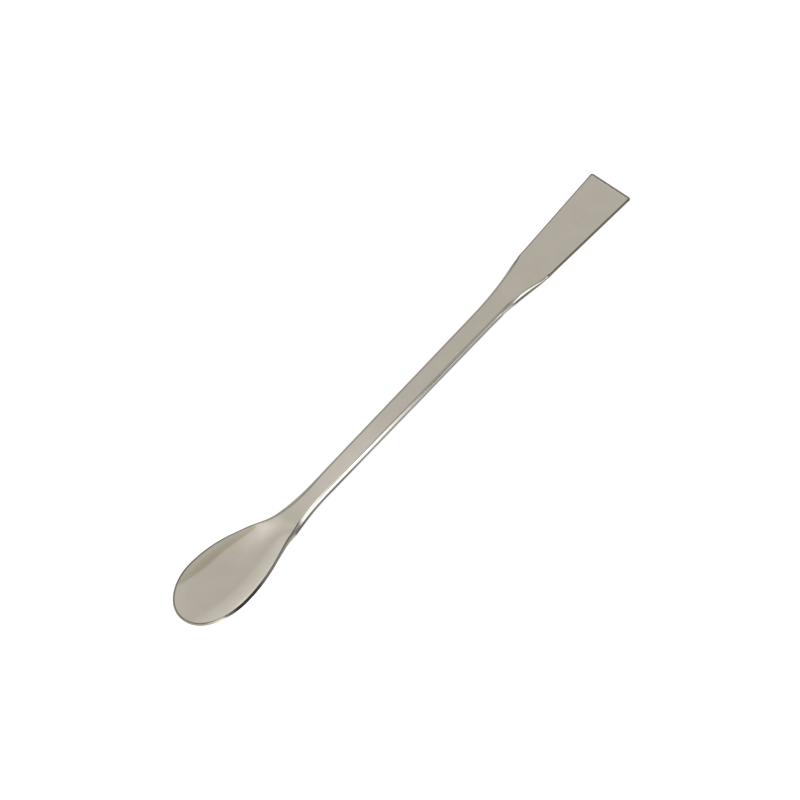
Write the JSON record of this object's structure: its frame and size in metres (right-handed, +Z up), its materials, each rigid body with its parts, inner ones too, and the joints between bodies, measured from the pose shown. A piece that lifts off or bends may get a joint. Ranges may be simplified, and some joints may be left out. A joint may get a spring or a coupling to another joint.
{
  "type": "lab spatula",
  "caption": "Double-ended polished steel lab spatula: small dished spoon, slim flat stem, thin flared square-ended blade.",
  "frame": {"origin": "middle of the bounding box in plan, on the plane of the stem's flat underside, which is what the tool rests on", "axes": "+X along the tool from the spoon to the blade, +Y across it, +Z up out of the open side of the spoon"},
  "size_m": [0.15, 0.0164, 0.0065],
  "materials": {
    "steel": "mirror-polished stainless steel with faint lengthwise polishing marks"
  },
  "bodies": {
    "root": {"spatula": "steel"}
  },
  "joints": []
}
